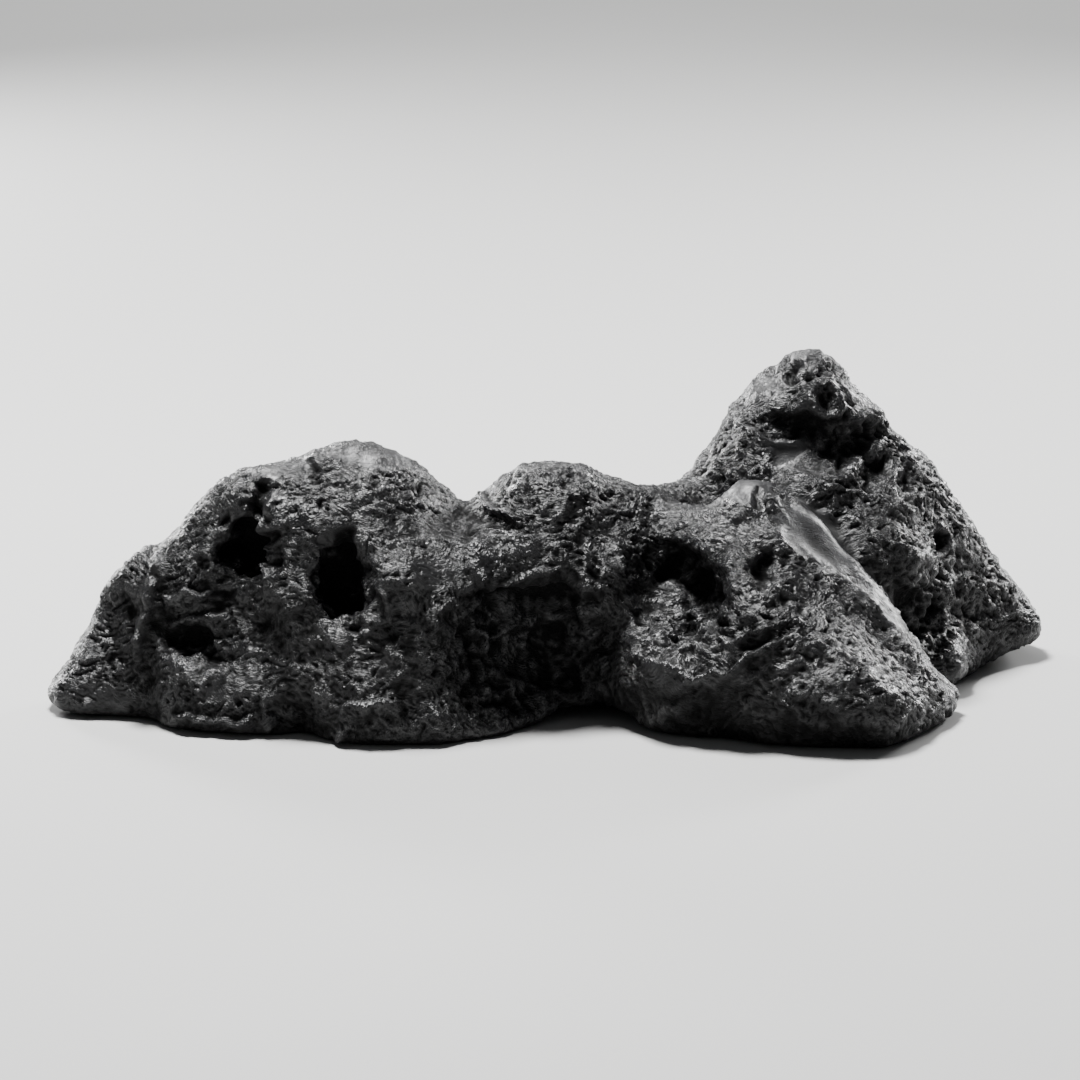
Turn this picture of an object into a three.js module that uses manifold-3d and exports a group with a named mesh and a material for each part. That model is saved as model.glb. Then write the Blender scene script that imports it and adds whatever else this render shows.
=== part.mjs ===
// Suiseki viewing stone: one natural black stone shaped like a distant mountain range.
//
// Millimetres. x runs along the range, to the viewer's right. y runs away from the viewer. z is up,
// and the table is at z = 0. The finished stone is moved so that the origin is under its middle.
//
// The stone is built as terrain. Each mass of the range is a crest line over a rim, and its slope
// runs from one to the other. The faces are then pressed in and drawn out where the real stone has
// hollows, ribs and ledges, and the underside is ground flat where it rests.

import * as THREE from 'three';
import { ImprovedNoise } from 'three/addons/math/ImprovedNoise.js';
import { mergeVertices } from 'three/addons/utils/BufferGeometryUtils.js';
import Module from 'manifold-3d';

const { abs, cos, exp, floor, hypot, max, min, sign, sin } = Math;
const { clamp, degToRad, lerp, smoothstep } = THREE.MathUtils;

// Mesh grid: cells are finer towards the front, where the relief is.
const CELL_X = 4.25;
const CELL_Y_FRONT = 3.75;
const CELL_Y_BACK = 6.2;
const CELL_Z = 4.2;
const PINCH_FILL = 0.01;
const GRID_LOW = new THREE.Vector3(-150, -76, -13);
const GRID_HIGH = new THREE.Vector3(156, 76, 104);

// Main crest of the west range, tip to saddle: x, y, z.
const WEST_CREST = [
  [-139, -22, 4], [-134.5, -21, 8], [-130, -21, 12.5], [-127, -20, 19], [-124.5, -20, 28],
  [-121.5, -20, 36.5], [-117.5, -20, 42.5], [-110, -20, 44.5], [-104.5, -20, 46], [-100.5, -20, 51.5],
  [-95.5, -20, 59.5], [-88, -20, 65.6], [-82, -21, 69.5], [-72, -22, 69], [-64, -22, 72.5],
  [-55, -22, 74.8], [-46, -22, 75.5], [-38, -22, 71], [-32.5, -24, 62], [-25.5, -27, 53.5],
  [-19, -28, 50], [-13, -27, 47.5], [-7.3, -22, 67.5], [1, -19, 70], [10, -13, 67.7],
  [20, -8, 63.2], [27, -4, 59.6], [35, 6, 56],
];

// Rim of the west range seen from above, with the height of the shoulder at each point.
const WEST_RIM = [
  [-141.5, -23, 4], [-136.5, -31, 4], [-121, -32, 4], [-109, -34, 4], [-104, -43, 5], [-90, -48, 5],
  [-77, -50, 5], [-65, -52, 7], [-56, -57, 7], [-42, -60, 8], [-30, -59, 12], [-17, -57, 18],
  [-6, -50, 26], [3, -42, 28], [14, -37, 26], [32, -28, 22], [44, -8, 20], [46, 24, 16],
  [30, 44, 12], [2, 41, 12], [-25, 35, 14], [-52, 31, 14], [-82, 27, 12], [-106, 16, 10],
  [-127, -2, 6], [-139, -13, 5],
];

// The peak behind, from the saddle over the summit to the east tip.
const PEAK_CREST = [
  [22, 4, 54], [35, 9, 57.3], [43, 14, 56.5], [48.5, 17, 65], [52.5, 18, 70], [54, 18, 86.5],
  [61, 18, 88.5], [70, 18, 93], [75.5, 18, 96.5], [81, 18, 91.5], [88.5, 20, 82], [100.5, 23, 69.5],
  [113, 27, 56.5], [121, 30, 43], [131, 34, 29.5], [140, 37, 17.3], [145.5, 39, 5.5],
];

const PEAK_RIM = [
  [20, -4, 14], [44, -14, 26], [66, -18, 31], [90, -16, 25], [108, -14, 12], [119, -10, 6],
  [122, 4, 6], [131, 19, 6], [144, 27, 5], [150, 38, 5], [140, 52, 6], [112, 61, 12],
  [80, 64, 16], [50, 58, 16], [28, 45, 14], [16, 20, 14],
];

// The ridge in front of the peak: saddle, knob, then down to the right.
const RIDGE_CREST = [
  [16, -10, 57], [27, -6, 57], [35, -9, 55.5], [41, -12, 55], [46, -16, 56], [49, -16, 61],
  [55, -16.5, 65], [61, -17, 64], [68, -18, 60], [78.5, -22, 52], [84, -26, 44.5], [89, -30, 37.5],
  [97, -35, 25], [105, -38, 15.5], [111, -40, 8],
];

const RIDGE_RIM = [
  [12, -29, 20], [22, -44, 20], [29, -52, 18], [41, -56, 18], [59, -62, 23], [77, -66, 26],
  [92, -67, 20], [105, -55, 12], [115.5, -36, 6], [120, -25, 5], [109, -14, 8], [92, -7, 16],
  [76, -1, 26], [54, 4, 34], [30, 10, 34], [12, 0, 24],
];

// crestRound above 1 rounds the crest and footSteep above 1 steepens the foot. The rim of a mass is
// drawn in by undercut at the table, and less and less up to undercutHeight.
const MASSES = [
  { crest: WEST_CREST, rim: WEST_RIM, crestRound: 1.6, footSteep: 1.35, undercut: 2, undercutHeight: 4 },
  { crest: PEAK_CREST, rim: PEAK_RIM, crestRound: 1.2, footSteep: 1.2, undercut: 3, undercutHeight: 6 },
  { crest: RIDGE_CREST, rim: RIDGE_RIM, crestRound: 1.25, footSteep: 1.2, undercut: 6, undercutHeight: 18 },
];
const CREST_RADIUS = 3;
const MASS_BLEND = 4;
const WALL_RUN = 2.2;
const OUTSIDE_DROP = 6;
const CREST_SAMPLES = 90;
const RIM_SAMPLES = 110;
const HEIGHT_REACH = 1.8;

// Hollows pressed into a face (depth above 0) and lumps drawn out of it (below 0).
// x and z are the middle, rx and rz the half width and half height, turn is in degrees. An edge
// above 1 makes the walls of a hollow steeper.
const FRONT_FORMS = [
  { name: 'face of the west shoulder', x: -87, z: 31, rx: 24, rz: 22, depth: 7, turn: 0 },
  { name: 'cave under the west shoulder', x: -80, z: 48, rx: 11, rz: 12, depth: 10, turn: 8 },
  { name: 'hollow behind the west spur', x: -98, z: 25, rx: 11, rz: 7, depth: 5, turn: 0 },
  { name: 'hollow on the west spur', x: -119, z: 27, rx: 8, rz: 13, depth: 4, turn: -15 },
  { name: 'rib of the west spur', x: -108.5, z: 32, rx: 5, rz: 20, depth: -3, turn: -12 },
  { name: 'face of the west dome', x: -48, z: 26, rx: 22, rz: 20, depth: 4, turn: 0 },
  { name: 'cave under the west dome', x: -55, z: 43, rx: 10, rz: 14, depth: 11, turn: 0 },
  { name: 'slot between the feet', x: -65, z: 5, rx: 9, rz: 12, depth: 4, turn: 0 },
  { name: 'lobe right of the dome cave', x: -37, z: 46, rx: 12, rz: 12, depth: -5, turn: 0 },
  { name: 'face under the saddle', x: -20, z: 49, rx: 13, rz: 9, depth: -3, turn: 0 },
  { name: 'big recess in the middle', x: -9, z: 21, rx: 27, rz: 26, depth: 13, turn: -12, edge: 1.6 },
  { name: 'groove over the recess', x: -8, z: 53, rx: 17, rz: 5, depth: 3, turn: 0 },
  { name: 'pillar beside the recess', x: 18, z: 40, rx: 8, rz: 18, depth: -5, turn: 0 },
  { name: 'bowl under the saddle', x: 38, z: 34, rx: 16, rz: 17, depth: 18, turn: 0, edge: 1.4 },
  { name: 'pit under the knob', x: 60, z: 44, rx: 7, rz: 6, depth: 3, turn: 0 },
  { name: 'lip of the bowl', x: 38, z: 18, rx: 24, rz: 7, depth: -3, turn: 8 },
  { name: 'ridge facet', x: 74, z: 47, rx: 9, rz: 15, depth: 1, turn: 50 },
  { name: 'east belly', x: 72, z: 13, rx: 40, rz: 15, depth: -3, turn: 0 },
];
const PEAK_FORMS = [
  { name: 'hollow under the summit', x: 73, z: 69, rx: 17, rz: 9, depth: 6, turn: 8 },
  { name: 'hollow in the east face', x: 92, z: 66, rx: 12, rz: 10, depth: 6, turn: -40 },
  { name: 'brow under the summit', x: 74, z: 81, rx: 18, rz: 6, depth: -3, turn: 0 },
  { name: 'slabs of the east face', x: 90, z: 43, rx: 25, rz: 12, depth: -6, turn: -25 },
  { name: 'valley head', x: 110, z: 20, rx: 18, rz: 13, depth: 8, turn: -30 },
];
const BACK_FORMS = [
  { name: 'hollow behind the spur', x: -98, z: 22, rx: 20, rz: 16, depth: 5, turn: 0 },
  { name: 'hollow behind the dome', x: -58, z: 32, rx: 20, rz: 22, depth: 8, turn: 0 },
  { name: 'gully behind the saddle', x: -24, z: 24, rx: 13, rz: 34, depth: 9, turn: 8 },
  { name: 'rib behind the knoll', x: 2, z: 30, rx: 10, rz: 28, depth: -5, turn: -6 },
  { name: 'gully before the peak', x: 30, z: 28, rx: 14, rz: 32, depth: 8, turn: 10 },
  { name: 'hollow behind the peak', x: 72, z: 46, rx: 16, rz: 26, depth: 8, turn: 12 },
  { name: 'buttress behind the peak', x: 98, z: 26, rx: 14, rz: 28, depth: -5, turn: -14 },
];

// Where across the stone each set of forms comes in and goes out, and which way it presses.
const FACES = [
  { forms: FRONT_FORMS, comesIn: [-90, -80], goesOut: [-14, 6], press: 1 },
  { forms: PEAK_FORMS, comesIn: [-26, -14], goesOut: [18, 34], press: 1 },
  { forms: BACK_FORMS, comesIn: [6, 26], goesOut: [80, 90], press: -1 },
];

// Slow waviness of the surface: size of a wave and its height along each axis.
const WAVE_SIZE = 14;
const WAVE = new THREE.Vector3(1.6, 1.6, 1);
const WAVE_OFFSET_Y = 17;
const WAVE_OFFSET_Z = 31;

// Underside: ground below the table in the middle, raised at the ends and in the front bay.
const UNDERSIDE_DEPTH = 3;
const UNDERSIDE_LIFTS = [
  { name: 'west tip', x: -141, y: -20, rx: 26, ry: 26, lift: 5 },
  { name: 'east tip', x: 146, y: 32, rx: 30, ry: 36, lift: 8 },
  { name: 'end of the valley', x: 121, y: -6, rx: 16, ry: 16, lift: 8 },
  { name: 'front bay', x: 13, y: -32, rx: 22, ry: 22, lift: 8 },
];

const perlin = new ImprovedNoise();

function curveSamples(points, closed, count) {
  const corners = points.map(([x, y, z]) => new THREE.Vector3(x, y, z));
  return new THREE.CatmullRomCurve3(corners, closed, 'centripetal').getPoints(count);
}

// Distance to a line of samples, measured in plan, and the height of the line near there. The
// height is an average that fades within HEIGHT_REACH, so that it has no jumps.
function nearestInPlan(samples, x, y) {
  let distance = Infinity;
  let nearestSample = Infinity;
  for (let i = 1; i < samples.length; i++) {
    const a = samples[i - 1];
    const b = samples[i];
    const dx = b.x - a.x;
    const dy = b.y - a.y;
    const along = clamp(((x - a.x) * dx + (y - a.y) * dy) / (dx * dx + dy * dy), 0, 1);
    distance = min(distance, hypot(x - a.x - dx * along, y - a.y - dy * along));
    nearestSample = min(nearestSample, hypot(x - b.x, y - b.y));
  }
  let weights = 0;
  let heights = 0;
  for (const sample of samples) {
    const weight = exp((nearestSample - hypot(x - sample.x, y - sample.y)) / HEIGHT_REACH);
    weights += weight;
    heights += weight * sample.z;
  }
  return { distance, z: heights / weights };
}

function insideInPlan(samples, x, y) {
  let inside = false;
  for (let i = 1; i < samples.length; i++) {
    const a = samples[i - 1];
    const b = samples[i];
    const crosses = a.y > y !== b.y > y;
    if (crosses && x < a.x + ((b.x - a.x) * (y - a.y)) / (b.y - a.y)) inside = !inside;
  }
  return inside;
}

for (const mass of MASSES) {
  mass.crestLine = curveSamples(mass.crest, false, CREST_SAMPLES);
  mass.rimLine = curveSamples(mass.rim, true, RIM_SAMPLES);
}

// Height of one mass above the table at x, y, as met from height z.
function massHeight(mass, x, y, z) {
  const rim = nearestInPlan(mass.rimLine, x, y);
  const tuck = mass.undercut * max(1 - max(z, 0) / mass.undercutHeight, 0) ** 2;
  const depthInside = (insideInPlan(mass.rimLine, x, y) ? rim.distance : -rim.distance) - tuck;
  if (depthInside <= 0) return OUTSIDE_DROP * depthInside;
  const crest = nearestInPlan(mass.crestLine, x, y);
  const fromCrest = hypot(crest.distance, CREST_RADIUS) - CREST_RADIUS;
  const share = depthInside / (depthInside + fromCrest);
  const slope = (1 - (1 - share) ** mass.crestRound) ** (1 / mass.footSteep);
  return rim.z * (1 - exp(-depthInside / WALL_RUN)) + max(crest.z - rim.z, 0) * slope;
}

function smoothMax(a, b, reach) {
  const h = max(reach - abs(a - b), 0) / reach;
  return max(a, b) + (h * h * reach) / 4;
}

// How far a set of forms presses the face in at x, z.
function pressed(forms, x, z) {
  let depth = 0;
  for (const form of forms) {
    const turn = degToRad(form.turn);
    const dx = x - form.x;
    const dz = z - form.z;
    const across = (dx * cos(turn) + dz * sin(turn)) / form.rx;
    const up = (dz * cos(turn) - dx * sin(turn)) / form.rz;
    const fromMiddle = (across * across + up * up) ** (form.edge ?? 1);
    depth += form.depth * max(1 - fromMiddle, 0) ** 2;
  }
  return depth;
}

function undersideHeight(x, y) {
  let height = -UNDERSIDE_DEPTH;
  for (const { x: cx, y: cy, rx, ry, lift } of UNDERSIDE_LIFTS) {
    height += lift * max(1 - ((x - cx) / rx) ** 2 - ((y - cy) / ry) ** 2, 0);
  }
  return height;
}

// Above 0 in the open air, below 0 in the stone.
function field(x, y, z) {
  const [u, v, w] = [x / WAVE_SIZE, y / WAVE_SIZE, z / WAVE_SIZE];
  const wx = x + WAVE.x * perlin.noise(u, v, w);
  const wz = z + WAVE.z * perlin.noise(u + WAVE_OFFSET_Z, v, w);
  let wy = y + WAVE.y * perlin.noise(u, v + WAVE_OFFSET_Y, w);
  for (const { forms, comesIn, goesOut, press } of FACES) {
    const acting = smoothstep(y, ...comesIn) * (1 - smoothstep(y, ...goesOut));
    if (acting > 0) wy -= press * acting * pressed(forms, wx, wz);
  }
  let height = -Infinity;
  for (const mass of MASSES) height = smoothMax(height, massHeight(mass, wx, wy, z), MASS_BLEND);
  return max(wz - height, undersideHeight(x, y) - z);
}

// Grid planes along one axis, with the cell size going from first to last.
function gridPlanes(low, high, first, last) {
  const planes = [low];
  while (planes.at(-1) < high) {
    const share = (planes.at(-1) - low) / (high - low);
    planes.push(planes.at(-1) + lerp(first, last, share));
  }
  return planes;
}

// Where the field changes sign between two points.
const CROSSING_STEPS = 6;
function crossing(a, b, fieldAtA) {
  const inner = a.clone();
  const outer = b.clone();
  const middle = new THREE.Vector3();
  for (let step = 0; step < CROSSING_STEPS; step++) {
    middle.addVectors(inner, outer).multiplyScalar(0.5);
    const same = sign(field(middle.x, middle.y, middle.z)) === sign(fieldAtA);
    (same ? inner : outer).copy(middle);
  }
  return middle;
}

// Moves a vertex onto the surface, along the slope of the field.
const PROBE = 0.2;
const LONGEST_MOVE = 1.2;
function ontoSurface(at) {
  const value = field(at.x, at.y, at.z);
  const slope = new THREE.Vector3(
    field(at.x + PROBE, at.y, at.z) - value,
    field(at.x, at.y + PROBE, at.z) - value,
    field(at.x, at.y, at.z + PROBE) - value,
  ).divideScalar(PROBE);
  const move = clamp(value / max(slope.length(), 1), -LONGEST_MOVE, LONGEST_MOVE);
  return at.addScaledVector(slope.normalize(), -move);
}

// A grid face whose corners alternate between stone and air would pinch the surface into an edge
// shared by four triangles, so one of its air corners is filled until there is no such face.
function fillPinches(values, counts, strides) {
  const inStone = (at) => values[at] < 0;
  let filled = true;
  while (filled) {
    filled = false;
    for (let at = 0; at < values.length; at++) {
      for (const [a, b] of [[0, 1], [1, 2], [2, 0]]) {
        const indexA = floor(at / strides[a]) % counts[a];
        const indexB = floor(at / strides[b]) % counts[b];
        if (indexA === counts[a] - 1 || indexB === counts[b] - 1) continue;
        const face = [at, at + strides[a], at + strides[a] + strides[b], at + strides[b]];
        const alternates = face.every((here, i) => inStone(here) !== inStone(face[(i + 1) % 4]));
        if (!alternates) continue;
        values[face.find((here) => !inStone(here))] = -PINCH_FILL;
        filled = true;
      }
    }
  }
}

// Surface nets: one vertex in each cell that the surface crosses, one quad for each crossed edge.
function stoneGeometry() {
  const xs = gridPlanes(GRID_LOW.x, GRID_HIGH.x, CELL_X, CELL_X);
  const ys = gridPlanes(GRID_LOW.y, GRID_HIGH.y, CELL_Y_FRONT, CELL_Y_BACK);
  const zs = gridPlanes(GRID_LOW.z, GRID_HIGH.z, CELL_Z, CELL_Z);
  const strides = [1, xs.length, xs.length * ys.length];
  const corner = (i, j, k) => i + j * strides[1] + k * strides[2];
  const point = (i, j, k) => new THREE.Vector3(xs[i], ys[j], zs[k]);
  const values = new Float64Array(xs.length * ys.length * zs.length);
  zs.forEach((z, k) => ys.forEach((y, j) => xs.forEach((x, i) => {
    values[corner(i, j, k)] = field(x, y, z);
  })));

  fillPinches(values, [xs.length, ys.length, zs.length], strides);

  const cells = new Map();
  const quads = [];
  const axes = [[1, 0, 0], [0, 1, 0], [0, 0, 1]];
  const addToCell = (i, j, k, at) => {
    const key = corner(i, j, k);
    if (!cells.has(key)) cells.set(key, { sum: new THREE.Vector3(), count: 0 });
    const cell = cells.get(key);
    cell.sum.add(at);
    cell.count++;
    return key;
  };
  for (let k = 1; k < zs.length - 1; k++) {
    for (let j = 1; j < ys.length - 1; j++) {
      for (let i = 1; i < xs.length - 1; i++) {
        axes.forEach(([di, dj, dk], axis) => {
          const here = values[corner(i, j, k)];
          const there = values[corner(i + di, j + dj, k + dk)];
          if (here < 0 === there < 0) return;
          const at = crossing(point(i, j, k), point(i + di, j + dj, k + dk), here);
          const [u, v] = [axes[(axis + 1) % 3], axes[(axis + 2) % 3]];
          const around = [[0, 0], [1, 0], [1, 1], [0, 1]].map(([a, b]) => addToCell(
            i - a * u[0] - b * v[0], j - a * u[1] - b * v[1], k - a * u[2] - b * v[2], at));
          quads.push(here < 0 ? around : around.reverse());
        });
      }
    }
  }

  const indexOf = new Map([...cells.keys()].map((key, index) => [key, index]));
  const vertices = [...cells.values()].map(({ sum, count }) => ontoSurface(sum.divideScalar(count)));
  const triangles = quads.flatMap((quad) => {
    const [a, b, c, d] = quad.map((key) => indexOf.get(key));
    const acShorter = vertices[a].distanceTo(vertices[c]) < vertices[b].distanceTo(vertices[d]);
    return acShorter ? [a, b, c, a, c, d] : [b, c, d, b, d, a];
  });
  const geometry = new THREE.BufferGeometry().setFromPoints(vertices);
  geometry.setIndex(triangles);
  return geometry;
}

const wasm = await Module();
wasm.setup();

function toManifold(geometry) {
  const bare = geometry.clone();
  bare.deleteAttribute('normal');
  bare.deleteAttribute('uv');
  const merged = mergeVertices(bare);
  return new wasm.Manifold(new wasm.Mesh({
    numProp: 3,
    vertProperties: new Float32Array(merged.attributes.position.array),
    triVerts: new Uint32Array(merged.index.array),
  }));
}

function fromManifold(solid) {
  const mesh = solid.getMesh();
  const geometry = new THREE.BufferGeometry();
  geometry.setAttribute('position', new THREE.BufferAttribute(mesh.vertProperties, mesh.numProp));
  geometry.setIndex(new THREE.BufferAttribute(mesh.triVerts, 1));
  return geometry;
}

// The underside is flat where the stone rests: everything below the table is cut away.
const TABLE_THICKNESS = 40;
const TABLE_MARGIN = 30;
function restOnTable(geometry) {
  const width = GRID_HIGH.x - GRID_LOW.x + 2 * TABLE_MARGIN;
  const depth = GRID_HIGH.y - GRID_LOW.y + 2 * TABLE_MARGIN;
  const table = new THREE.BoxGeometry(width, depth, TABLE_THICKNESS);
  table.translate(0, 0, -TABLE_THICKNESS / 2);
  return fromManifold(toManifold(geometry).subtract(toManifold(table)));
}

const geometry = restOnTable(stoneGeometry());
geometry.computeBoundingBox();
const middle = geometry.boundingBox.getCenter(new THREE.Vector3());
geometry.translate(-middle.x, -middle.y, 0);
geometry.computeVertexNormals();

const stone = new THREE.Mesh(geometry, new THREE.MeshStandardMaterial({
  color: 0x303031, roughness: 0.45, metalness: 0,
}));
stone.name = 'stone';

const group = new THREE.Group();
group.add(stone);

export default group;
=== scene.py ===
"""A suiseki viewing stone: one black natural stone shaped like a distant mountain range."""

import bpy
import numpy as np
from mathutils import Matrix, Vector


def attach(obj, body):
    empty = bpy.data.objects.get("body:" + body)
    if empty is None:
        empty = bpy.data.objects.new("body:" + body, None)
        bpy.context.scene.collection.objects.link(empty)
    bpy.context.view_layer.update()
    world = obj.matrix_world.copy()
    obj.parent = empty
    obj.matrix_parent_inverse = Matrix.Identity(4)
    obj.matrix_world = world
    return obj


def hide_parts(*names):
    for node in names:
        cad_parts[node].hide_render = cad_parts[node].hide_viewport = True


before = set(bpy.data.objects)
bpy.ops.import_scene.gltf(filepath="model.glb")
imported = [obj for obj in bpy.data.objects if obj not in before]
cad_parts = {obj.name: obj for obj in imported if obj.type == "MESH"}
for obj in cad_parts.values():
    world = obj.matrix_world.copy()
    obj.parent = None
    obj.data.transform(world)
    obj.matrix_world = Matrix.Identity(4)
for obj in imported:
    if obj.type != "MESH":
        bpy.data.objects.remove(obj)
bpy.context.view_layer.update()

# The camera. A long lens, a little above the peak and looking slightly down, as one looks at such a
# stone on a table. Its picture is 1080 pixels wide, each 0.28 mm at the stone.
camera_height = np.radians(14)
camera_distance = 1.2
aim_point = Vector((-0.0044, 0.002, 0.043))
film_width = 36
pixel_at_stone = 0.00028
picture_width = 1080 * pixel_at_stone
looking = Vector((0, np.cos(camera_height), -np.sin(camera_height)))
camera = bpy.data.objects.new("camera", bpy.data.cameras.new("camera"))
bpy.context.collection.objects.link(camera)
camera.location = aim_point - camera_distance * looking
camera.rotation_euler = looking.to_track_quat("-Z", "Y").to_euler()
camera.data.sensor_width = film_width
camera.data.lens = film_width * camera_distance / picture_width
bpy.context.scene.camera = camera

# The stone. One solid piece of dense black stone, worn into domes, ridges and caves by water. It
# was cut flat underneath, rubbed with wax and stands on its own weight. The mass comes from the
# CAD solid. The wrinkles, ledges, ribs and pits of its skin are carved here.
in_mm = 1000
even_face = 2.4 / in_mm
same_corner = 0.01 / in_mm
most_triangles = 195000
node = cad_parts["stone"]
stone = bpy.data.objects.new("suiseki_stone", node.data.copy())
bpy.context.collection.objects.link(stone)
bpy.ops.object.select_all(action="DESELECT")
stone.select_set(True)
bpy.context.view_layer.objects.active = stone
bpy.ops.object.mode_set(mode="EDIT")
bpy.ops.mesh.select_all(action="SELECT")
bpy.ops.mesh.remove_doubles(threshold=same_corner)
bpy.ops.object.mode_set(mode="OBJECT")

# A mesh of even small faces, rounded so that the solid's facets go.
for name, kind, settings in (
    ("even", "REMESH", {"mode": "VOXEL", "voxel_size": even_face}),
    ("round", "SMOOTH", {"factor": 0.5, "iterations": 4}),
    ("fine", "SUBSURF", {"levels": 2, "render_levels": 2}),
):
    modifier = stone.modifiers.new(name, kind)
    for setting, value in settings.items():
        setattr(modifier, setting, value)
    bpy.ops.object.modifier_apply(modifier=name)


def read_skin():
    """The corners of the stone's skin in millimetres, their outward directions and the edges."""
    corners = np.empty(len(stone.data.vertices) * 3)
    stone.data.vertices.foreach_get("co", corners)
    outward = np.empty(len(corners), dtype=np.float32)
    stone.data.vertex_normals.foreach_get("vector", outward)
    ends = np.empty(len(stone.data.edges) * 2, dtype=np.int32)
    stone.data.edges.foreach_get("vertices", ends)
    return corners.reshape(-1, 3) * in_mm, outward.reshape(-1, 3).astype(float), ends.reshape(-1, 2)


def write_attribute(name, values):
    attribute = stone.data.attributes.new(name, "FLOAT", "POINT")
    attribute.data.foreach_set("value", values.astype(np.float32))


def neighbour_mean(values, edges, rounds):
    """Values averaged with those of the neighbouring vertices, a number of times over."""
    count = np.bincount(edges.ravel(), minlength=len(values))[:, None]
    for _ in range(rounds):
        total = np.zeros_like(values)
        for axis in range(values.shape[1]):
            total[:, axis] = np.bincount(edges[:, 0], values[edges[:, 1], axis], len(values))
            total[:, axis] += np.bincount(edges[:, 1], values[edges[:, 0], axis], len(values))
        values = 0.5 * values + 0.5 * total / count
    return values


def standing_out(points, normals, edges, rounds):
    """How far each corner stands out from the smoothed skin around it, below 0 in a hollow."""
    return np.einsum("ij,ij->i", points - neighbour_mean(points, edges, rounds), normals)


def waves(points, seed):
    """Smooth noise from about -1 to 1, with one wave about every two units. The large numbers only
    scramble each cell's place and the seed into a direction."""
    scramble = np.array([73856093, 19349663, 83492791])
    cell = np.floor(points).astype(np.int64)
    inside = points - cell
    fade = inside**3 * (inside * (inside * 6 - 15) + 10)
    total = np.zeros(len(points))
    for corner in np.ndindex(2, 2, 2):
        key = (cell + corner) @ scramble + seed * 7919
        key = ((key ^ (key >> 13)) * 1274126177) & 0xFFFFFFFF
        key ^= key >> 15
        gradient = np.stack([key & 255, (key >> 8) & 255, (key >> 16) & 255], axis=1) / 127.5 - 1
        weight = np.prod(np.where(corner, fade, 1 - fade), axis=1)
        total += weight * np.einsum("ij,ij->i", inside - corner, gradient)
    return total * 1.6


def step(values, low, high):
    """A soft rise from 0 where a value is low to 1 where it is high."""
    share = np.clip((values - low) / (high - low), 0, 1)
    return share * share * (3 - 2 * share)


def beside_line(points, line):
    """Distance to a line drawn on the front face, in x and z, above 0 over it, and a taper that
    fades to 0 at both ends of the line."""
    flat = points[:, [0, 2]]
    line = np.array(line, dtype=float)
    lengths = np.linalg.norm(np.diff(line, axis=0), axis=1)
    run = np.concatenate([[0], np.cumsum(lengths)]) / lengths.sum()
    best = np.full(len(points), 1e9)
    signed = np.zeros(len(points))
    along = np.zeros(len(points))
    for i, length in enumerate(lengths):
        way = (line[i + 1] - line[i]) / length
        offset = flat - line[i]
        travelled = np.clip(offset @ way, 0, length)
        gap = offset - travelled[:, None] * way
        distance = np.hypot(gap[:, 0], gap[:, 1])
        nearer = distance < best
        best[nearer] = distance[nearer]
        signed[nearer] = (np.sign(offset @ np.array([-way[1], way[0]])) * distance)[nearer]
        along[nearer] = (run[i] + travelled / length * (run[i + 1] - run[i]))[nearer]
    return signed, step(along, 0, 0.18) * step(1 - along, 0, 0.18)


# The faces that are carved: the front of the west range and the ridge, the ridge's alone, and the
# front of the peak that stands behind them.
points, normals, edges = read_skin()
x, y, z = points.T
facing = step(-normals[:, 1] + 0.35 * normals[:, 2], -0.1, 0.25)
front = step(-y, -4, 6) * facing
ridge_front = front * step(-y, 4, 9)
peak_front = step(y, -12, -6) * facing * step(x, 30, 45)
above_table = step(z, 0.2, 2.5)

# Bulges, hollows and sharp creases of 5 to 20 mm, the same all round, and a drift that makes every
# line and patch below run unevenly.
ragged = waves(points / 2.6, 3)
drawn = points + 1.3 * np.stack([waves(points / 4.5, seed) for seed in (15, 16, 17)], axis=1)
crease = np.abs(waves(points / 7 + 0.5 * waves(points / 5, 10)[:, None], 11))
lumps = waves(points / 5, 2)
uneven = 0.7 * waves(points / 11, 1) + 0.5 * lumps + 0.9 * (0.35 - crease)
lift = uneven.copy()

# Places that stand prouder or lower than in the solid, the knob, the shoulders of the summit and its
# point: x, y, z, reach, height.
for px, py, pz, reach, height in (
    (52.5, -19, 61, 5.5, 1.3),
    (60.5, 17, 89, 7, -2.2),
    (77.5, 14, 90, 4.5, -1.5),
    (72, 17, 94, 3.5, 0.8),
):
    away = np.linalg.norm(points - (px, py, pz), axis=1) / reach
    lift += height * np.exp(-(away**2))

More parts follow.
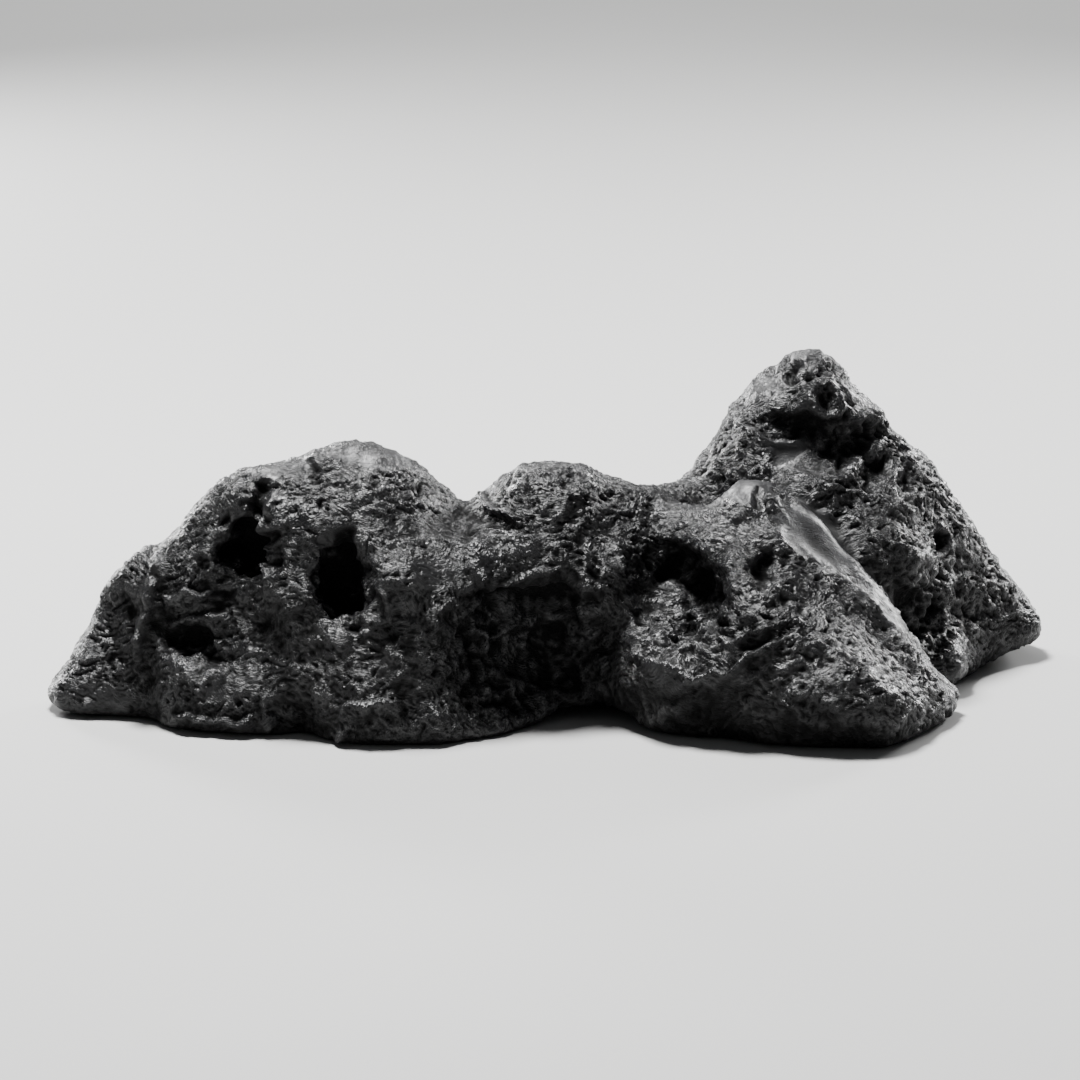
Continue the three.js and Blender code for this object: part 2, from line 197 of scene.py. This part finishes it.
# Ledges, each with its height, how far it fades and its line in x and z: the face stands out below
# the line and steps back sharply above it.
ledge_strength = 1.5
for face, ledges in (
    (front, (
        (1.3, 4, [(-28, 58.6), (-20.7, 57.2), (-13, 56.6), (-7, 55.5)]),
        (1.5, 4, [(-25.5, 48.8), (-15.3, 50.8), (-3.1, 51.5)]),
        (1.4, 4, [(-17.4, 39), (-9.9, 42.6), (1, 44.7)]),
        (1.6, 5, [(-108.3, 33.5), (-101.3, 36), (-93.1, 37.7)]),
        (1.5, 5, [(-108.1, 27.2), (-98.4, 29.8), (-88.3, 31.5)]),
        (1.4, 3, [(-107.3, 4.8), (-96.9, 4.4), (-87.3, 4.6), (-79.9, 6.5)]),
        (1.5, 3, [(-57.3, 10.5), (-50.2, 12), (-40.8, 12.3)]),
        (1.6, 6, [(-76.3, 33), (-77.4, 45.6), (-77.6, 52), (-79, 60.5), (-79.5, 67)]),
        (1.9, 2.2, [(18, 32), (22, 27.5), (28, 24.8), (36, 24.6), (43, 27), (50, 32), (57, 36)]),
        (2.2, 2.4, [(18, 28), (23, 24.2), (29.3, 21.6), (36, 21.2), (43, 23.5), (51, 28.5), (60, 32),
                    (69, 33)]),
        (1.7, 2.6, [(19, 24), (24, 20.6), (31, 18.4), (38, 18), (46, 21), (54, 26), (64, 29), (76, 28)]),
    )),
    (peak_front, (
        (1.4, 4, [(59.9, 62.2), (73.8, 60.4), (87.9, 55.5), (105.2, 47.3)]),
        (1.4, 4, [(68.2, 54.5), (82.2, 50.4), (96.5, 42.5), (108.3, 34.2)]),
        (1.2, 4, [(85, 42.3), (96.4, 34.8), (108.2, 24.8)]),
        (1.3, 4, [(50.5, 76.8), (55.1, 72.4), (60, 69.9), (72, 71)]),
    )),
):
    for height, fade, line in ledges:
        aside, taper = beside_line(drawn, line)
        profile = np.where(aside < 0, np.exp(aside / fade), step(-aside, -1.1, 0))
        lift += ledge_strength * face * taper * height * profile

# Ribs and raised edges, each with its height, half width, how much it is worn and its line: they
# fall away alike on both sides of the line, and are broken along it.
rib_strength = 1.3
broken = 0.8 + 0.35 * step(lumps + ragged, -0.5, 0.6)
polish = np.zeros(len(points))
for height, width, share, line in (
    (2.6, 1.6, 0.3, [(-107.6, 46.6), (-110.8, 39), (-111.5, 34), (-113.4, 26), (-114.2, 18), (-113, 9)]),
    (1.6, 1.3, 0.2, [(-78.9, 65.4), (-79, 60.5), (-77.6, 52), (-77.4, 45.6), (-76.3, 35)]),
    (1.2, 1.1, 0.2, [(-49.7, 42.8), (-45.9, 41.1), (-44.6, 37.2), (-45.9, 33.3), (-49.2, 31.3)]),
    (1.3, 1.2, 0.2, [(-78.2, 14), (-78.2, 7), (-78.8, 0)]),
    (1.4, 1.3, 0.2, [(-55.2, 12), (-56.7, 8.4), (-57.3, 0)]),
    (1.2, 1.5, 0, [(-46.1, 28.2), (-42.6, 23.2), (-41.5, 15.4)]),
    (1.3, 1.5, 0, [(8.2, 52.3), (7.9, 42), (7.9, 33.6), (8.7, 18)]),
    (1.1, 1.4, 0, [(15.2, 50), (18.7, 40.2), (20.6, 30)]),
):
    aside, taper = beside_line(drawn, line)
    near = front * taper * np.exp(-np.abs(aside / width) ** 1.4)
    lift += rib_strength * height * near * broken
    polish = np.maximum(polish, share * near)

# The edge that runs down the ridge from the knob to its foot.
ridge_edge = [(50, 60), (57.6, 54), (61.5, 49.9), (67.6, 46), (73.8, 42.7), (80.9, 38.2)]
ridge_edge += [(86.4, 32.7), (92.1, 26.8), (98, 19.5), (104.7, 10.8)]
aside, taper = beside_line(drawn, ridge_edge)
lift += ridge_front * taper * 1.1 * np.exp(-np.abs(aside / 1.7) ** 1.4)

# Caves and black places that run deeper than in the solid: x, z, half width, half height, depth.
for face, caves in (
    (front, (
        (-82.5, 51, 7, 8, 6), (-80, 61, 2.2, 7, 3), (-89, 47, 5, 3.5, 2.5), (-58, 42, 7, 9, 5),
        (-57, 51, 3.5, 6, 3), (-54, 36, 4, 5, 2.5), (-98, 24, 9, 4, 3), (-91, 21, 6, 3, 2),
        (-116, 27, 4, 7, 1.5), (33, 41, 8, 6, 3), (40, 36, 6, 7, 3), (-6, 36, 16, 4, 2.5),
        (-20, 30, 7, 9, 2), (-9, 18, 18, 13, 3),
    )),
    (peak_front, (
        (68, 74.5, 11, 4, 2.5), (82, 69.5, 8, 5, 3), (89, 62, 5, 4, 2), (100, 27, 11, 8, 3),
        (91, 35, 4, 5, 2), (110, 20, 8, 6, 2),
    )),
):
    for px, pz, half_x, half_z, depth in caves:
        away = np.hypot((drawn[:, 0] - px) / half_x, (drawn[:, 2] - pz) / half_z)
        away = away + 0.3 * ragged + 0.35 * lumps
        lift -= face * depth * step(-away, -1.25, -0.3)

# Pits, each with a low raised rim: x, z, half width, depth.
for face, pits in (
    (front, (
        (-86.1, 10.3, 1.6, 1.8), (-65.9, 68.7, 2.2, 1.2), (-37.2, 63.8, 2, 1.3), (-63.9, 61.8, 1.5, 1),
        (-49.4, 66.9, 1.4, 0.8), (36.5, 27.5, 4, 1.8), (55.8, 45.5, 4.5, 2.2), (68, 25, 1.6, 1.1),
        (81, 22, 1.3, 1), (61, 38, 1.8, 1.2), (73, 31, 1.4, 1), (-29, 33, 3, 1.6),
        (-97, 44, 2.6, 1.5), (54.9, 59.5, 1.6, 1.4),
    )),
    (peak_front, (
        (65.9, 88.5, 3, 2.6), (75.5, 81.9, 3.4, 2.8), (89, 71.4, 3.4, 2), (81.2, 77.1, 1.8, 1.2),
        (98, 58, 3, 1.6), (60, 82, 1.3, 0.9), (108, 40, 2.6, 1.5), (79, 64.5, 3, 1.8),
    )),
):
    for px, pz, half, depth in pits:
        away = np.hypot(drawn[:, 0] - px, (drawn[:, 2] - pz) * 0.9) / half + 0.3 * ragged
        low_rim = 0.25 * np.exp(-((away - 1.25) / 0.3) ** 2)
        lift += face * depth * (low_rim - step(-away, -1.05, -0.2))

# Where the stone is worn smooth: its sharpest crests and ribs, the knob, the facet beside the ridge,
# the bright face under the summit, the tops of the domes and patches at the feet. Each patch has
# x, z, half width, half height and turn in degrees.
wide_rounds = 40
bulge = standing_out(points, normals, edges, wide_rounds)
worn_and_highlight = np.maximum(0.75 * step(bulge, 0.16, 0.5), polish)
lift += np.clip(1.3 * bulge, -0.5, 0.9)
for face, patches in (
    (ridge_front, ((52, 62.6, 7, 3.2, 0), (71.5, 49.5, 14, 5.5, -38))),
    (0.8 * ridge_front, ((87, 34, 13, 2.6, -50),)),
    (0.45 * front, ((-124, 6, 8, 4, -20), (-88, 13, 9, 4, 10), (-33, 45, 9, 5, 0), (-46, 21, 3, 4, 0))),
    (0.8 * front, ((-72, 69.5, 9, 2, 10), (-49, 72, 12, 2.2, -8))),
    (peak_front, ((64.5, 67.5, 6, 4, 8),)),
    (0.55 * peak_front, ((60, 84.5, 8, 4, 30), (70, 92, 6, 2.5, 10), (84, 80, 9, 1.8, -42))),
):
    for px, pz, half_x, half_z, turn in patches:
        cos, sin = np.cos(np.radians(turn)), np.sin(np.radians(turn))
        u = ((drawn[:, 0] - px) * cos + (drawn[:, 2] - pz) * sin) / half_x
        v = ((drawn[:, 2] - pz) * cos - (drawn[:, 0] - px) * sin) / half_z
        worn_and_highlight = np.maximum(worn_and_highlight, face * step(-np.hypot(u, v) - 0.2 * ragged, -1.15, -0.7))

# Wrinkles that follow bent layers, long one way and thin the other, with slits and small pits
# between them. They fade where the stone is worn.
layers = z + 0.5 * y + 13 * waves(points / 21, 5) + 5 * waves(points / 9, 6)
wrinkles = 0
for fine, long, height, seed in ((2.2, 6, 0.36, 7), (1.2, 3.6, 0.34, 8), (0.75, 2.4, 0.26, 12)):
    grain = np.stack([layers / fine, x / long, (y + z) / long], axis=1)
    wrinkles = wrinkles + height * (0.5 - 1.6 * np.abs(waves(grain, seed)))
slits = np.clip(waves(np.stack([layers / 1.5, x / 3.4, (y + z) / 3.4], axis=1), 14) - 0.28, 0, 1)
pocks = np.clip(waves(points / 1.15, 9) - 0.32, 0, 1)
rough = (1 - 0.92 * worn_and_highlight) * (0.75 + 0.5 * step(waves(points / 16, 13), -0.4, 0.4))
lift += rough * (wrinkles - 1.5 * slits - 1.1 * pocks) - 0.85 * worn_and_highlight * uneven

# The whole skin is set out by a little and moved. The flat face underneath stays as it is, and
# nothing goes below it.
set_out = 0.1
flat_face = 0.05
least_height = 0.02
lift += set_out
points = points + normals * (lift * above_table)[:, None]
points[:, 2] = np.where(z < flat_face, z, np.maximum(points[:, 2], least_height))
stone.data.vertices.foreach_set("co", (points / in_mm).ravel())
stone.data.update()
# The worn patches, kept for the finish, which paints them paler: partly wear, partly painted highlight.
write_attribute("patch", worn_and_highlight)

# Fewer faces where the skin is plain, so that the piece stays light. Before this each has four sides.
triangles = 2 * len(stone.data.polygons)
thin = stone.modifiers.new("thin", "DECIMATE")
thin.ratio = min(1, most_triangles / triangles)
bpy.ops.object.modifier_apply(modifier="thin")
bpy.ops.object.shade_smooth()

# Hollow and worn places as attributes, for the finish. Faces that look down count as hollow, so
# that the finish puts painted shade on them as in the hollows.
points, normals, edges = read_skin()
crisp = standing_out(points, normals, edges, rounds=3)
broad = standing_out(points, normals, edges, wide_rounds)
under = 0.8 * step(-neighbour_mean(normals, edges, rounds=4)[:, 2], -0.1, 0.5)
sunk = np.maximum(0.75 * step(-crisp, 0, 0.16), step(-broad, 0.08, 0.9))
write_attribute("hollow", np.maximum(sunk, under))
# The crests, which the finish paints paler and glossier: partly wear, partly painted highlight.
write_attribute("worn_and_highlight", 0.6 * step(broad, 0.1, 0.6) + 0.4 * step(crisp, 0, 0.12))


class Shade:
    """A shader socket whose values are joined with + - * and the methods below. Each adds a node."""

    def __init__(self, tree, socket):
        self.tree = tree
        self.socket = socket

    def node(self, kind, inputs=(), output=0, **settings):
        """A new node with its settings, then the values or links of its sockets."""
        made = self.tree.nodes.new("ShaderNode" + kind)
        for name, value in settings.items():
            setattr(made, name, value)
        for name, value in dict(inputs).items():
            if isinstance(value, Shade):
                self.tree.links.new(value.socket, made.inputs[name])
            else:
                made.inputs[name].default_value = value
        return Shade(self.tree, made.outputs[output])

    def math(self, operation, *others):
        values = dict(enumerate((self,) + others))
        return self.node("Math", values, operation=operation)

    def __add__(self, other):
        return self.math("ADD", other)

    def __mul__(self, other):
        return self.math("MULTIPLY", other)

    def __sub__(self, other):
        return self.math("SUBTRACT", other)

    def __rsub__(self, other):
        return self * -1 + other

    __radd__ = __add__
    __rmul__ = __mul__

    def clamp(self):
        return self.node("Clamp", {"Value": self})

    def map(self, low, high, to_low=0.0, to_high=1.0):
        ends = {"Value": self, "From Min": low, "From Max": high, "To Min": to_low, "To Max": to_high}
        return self.node("MapRange", ends, interpolation_type="SMOOTHSTEP")

    def mix(self, low, high):
        return self.node("Mix", {"Factor": self, "A": low, "B": high}, output="Result", data_type="RGBA")

    def noise(self, scale, detail, roughness, output="Fac"):
        values = {"Vector": self, "Scale": scale, "Detail": detail, "Roughness": roughness}
        return self.node("TexNoise", values, output=output)

    def feed(self, socket):
        self.tree.links.new(self.socket, socket)


# The finish: black stone with fine bent threads, pores and specks in a thin coat of wax. Its crests
# and worn patches are painted a little paler, partly wear and partly painted highlight. The hollows
# and the faces that look down are painted darker, dull and nearly black: painted shade.
black = (0.0015, 0.0015, 0.0016, 1.0)
# The paler grey of crests and worn patches, partly wear and partly painted highlight. Random clouds and
# threads reach it too.
rubbed_and_highlight_grey = (0.018, 0.018, 0.019, 1.0)
# The colour of the painted shade in the hollows and on the faces that look down.
painted_shade_black = (0.002, 0.002, 0.002, 1.0)
deepest_pore = 0.0007
skin = bpy.data.materials.new("waxed black stone")
skin.use_nodes = True
tree = skin.node_tree
waxed = tree.nodes["Principled BSDF"]
waxed.inputs["Specular IOR Level"].default_value = 0.42
place = Shade(tree, tree.nodes.new("ShaderNodeTexCoord").outputs["Object"])
hollow = place.node("Attribute", attribute_name="hollow", output="Fac")
worn_and_highlight = place.node("Attribute", attribute_name="worn_and_highlight", output="Fac")
patch = place.node("Attribute", attribute_name="patch", output="Fac")
cloud = place.noise(45.0, 4.0, 0.6)
speck = place.noise(900.0, 3.0, 0.7)
pores = place.node("TexVoronoi", {"Vector": place, "Scale": 620.0}, output="Distance").map(0.0, 0.4)
bent = place.noise(60.0, 2.0, 0.5, output="Color")
swirl = bent.node("VectorMath", {0: bent, "Scale": 0.03}, operation="SCALE")
flow = swirl.node("VectorMath", {0: place, 1: swirl}, operation="ADD")
thread = 0
for turn, scale, share in ((0.4, 600.0, 0.65), (-0.5, 1050.0, 0.35)):
    drawn_out = {"Vector": flow, "Rotation": (0.0, turn, 0.0), "Scale": (0.3, 0.5, 1.0)}
    fibres = flow.node("Mapping", drawn_out).noise(scale, 4.0, 0.6) - 0.5
    thread = fibres.math("ABSOLUTE").map(0.0, 0.16, share, 0.0) + thread
# Painted shade: the hollows and the faces that look down are darkened. Painted highlight, partly wear:
# crests and worn patches are paler.
tone = (worn_and_highlight * 0.35 + patch * 0.3 + cloud * 0.3 + thread * 0.2 - hollow * 0.6).clamp()
tone.mix(black, rubbed_and_highlight_grey).feed(waxed.inputs["Base Color"])
gloss = (0.27 + hollow * 0.22 + patch * 0.12 - worn_and_highlight * 0.05 - thread * 0.05 + speck * 0.16).clamp()
gloss.feed(waxed.inputs["Roughness"])
relief = (thread * (cloud * 1.3 - 0.15) + pores * 0.22 + speck * 0.25) * (1 - patch * 0.85)
bump = relief.node("Bump", {"Height": relief, "Strength": 1.0, "Distance": deepest_pore}, output="Normal")
bump.feed(waxed.inputs["Normal"])
# A dull, nearly black finish mixed into the hollows and the faces that look down: painted shade.
painted_shade_finish = {"Base Color": painted_shade_black, "Roughness": 0.85, "Specular IOR Level": 0.12, "Normal": bump}
dull = bump.node("BsdfPrincipled", painted_shade_finish)
# How much painted shade goes in: most in the hollows and underneath, none on worn crests and patches.
painted_shade_share = (hollow * 1.1 - worn_and_highlight * 0.5 - patch).clamp()
both = dull.node("MixShader", {"Fac": painted_shade_share, 1: Shade(tree, waxed.outputs[0]), 2: dull})
both.feed(tree.nodes["Material Output"].inputs["Surface"])
stone.data.materials.clear()
stone.data.materials.append(skin)
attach(stone, "root")
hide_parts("stone")

# The floor. A wide sheet of plain pale board with a matt face, laid flat under the stone, so that
# only the stone's shadow is seen on it.
bpy.ops.mesh.primitive_plane_add(size=12, location=(0, 0, 0))
floor = bpy.context.object
floor.name = "floor"
board = bpy.data.materials.new("pale board")
board.use_nodes = True
face = board.node_tree.nodes["Principled BSDF"]
face.inputs["Base Color"].default_value = (0.4, 0.4, 0.395, 1)
face.inputs["Roughness"].default_value = 0.8
floor.data.materials.append(board)

# The light. A soft box overhead and a little behind, one behind each shoulder of the stone that rims
# its crests, a wide one on the far floor, and a weak pale surround.
middle = (0, 0, 0.04)
for name, place_at, aim, size, power in (
    ("overhead", (-0.15, 0.15, 0.95), middle, 0.24, 40),
    ("behind left", (-0.7, 1.0, 0.36), middle, 0.3, 22),
    ("behind right", (0.8, 0.9, 0.36), middle, 0.3, 20),
    ("far floor", (0, 2.4, 1.8), (0, 3, 0), 2, 75),
):
    lamp = bpy.data.objects.new(name, bpy.data.lights.new(name, "AREA"))
    bpy.context.collection.objects.link(lamp)
    lamp.data.size = size
    lamp.data.energy = power
    lamp.location = place_at
    lamp.rotation_euler = (Vector(aim) - Vector(place_at)).to_track_quat("-Z", "Y").to_euler()
surround = bpy.data.worlds.new("surround")
surround.use_nodes = True
air = surround.node_tree.nodes["Background"]
air.inputs["Color"].default_value = (0.9, 0.92, 0.95, 1)
air.inputs["Strength"].default_value = 0.14
bpy.context.scene.world = surround
